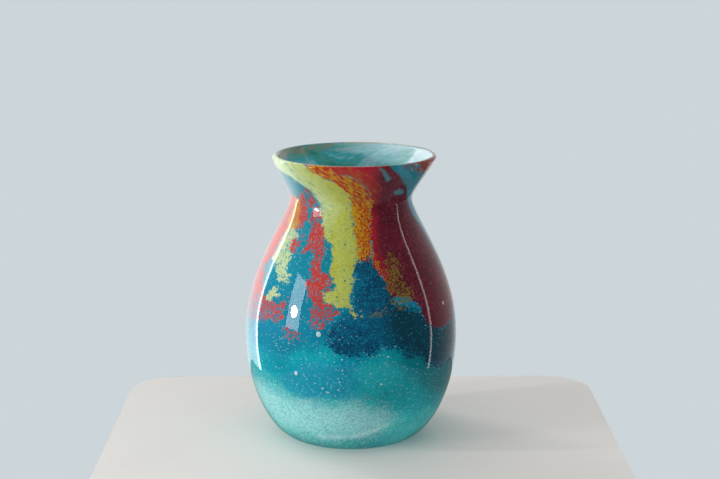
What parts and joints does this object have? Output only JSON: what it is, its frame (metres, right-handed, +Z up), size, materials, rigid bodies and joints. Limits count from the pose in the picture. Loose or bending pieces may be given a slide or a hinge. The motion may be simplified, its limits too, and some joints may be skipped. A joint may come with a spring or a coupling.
{
  "type": "blown glass vase",
  "caption": "Round-bellied vase of cased coloured glass with a narrow neck, a flared open lip and a flat ground foot.",
  "frame": {"origin": "centre of the foot, on the surface the vase stands on", "axes": "+Z up the vase's axis, -Y its front, +X to the right as seen from the front"},
  "size_m": [0.142, 0.142, 0.19],
  "materials": {
    "clear_glass": "clear, fire polished",
    "turquoise_glass": "opaque, glossy",
    "aqua_powder": "powdered, opaque, cased",
    "teal_powder": "powdered, opaque, cased",
    "lime_frit": "grainy, opaque, cased",
    "orange_frit": "grainy, opaque, cased",
    "ruby_frit": "grainy, opaque, cased",
    "olive_frit": "grainy, opaque, cased",
    "red_frit": "grainy, opaque, cased",
    "cream_frit": "grainy, opaque, cased",
    "deep_blue_frit": "grainy, opaque, cased"
  },
  "bodies": {
    "root": {"clear_casing": "clear_glass", "inner_gather": "turquoise_glass", "turquoise_cup": "aqua_powder", "teal_mantle": "teal_powder", "lime_streak": "lime_frit", "orange_streak": "orange_frit", "ruby_field": "ruby_frit", "olive_streak": "olive_frit", "red_column": "red_frit", "red_shoulder_patch": "red_frit", "cream_patch": "cream_frit", "red_low_band": "red_frit", "deep_blue_patch": "deep_blue_frit", "ruby_back_field": "ruby_frit", "lime_back_streak": "lime_frit", "orange_back_streak": "orange_frit", "deep_blue_back_patch": "deep_blue_frit", "red_back_patch": "red_frit"}
  },
  "joints": []
}
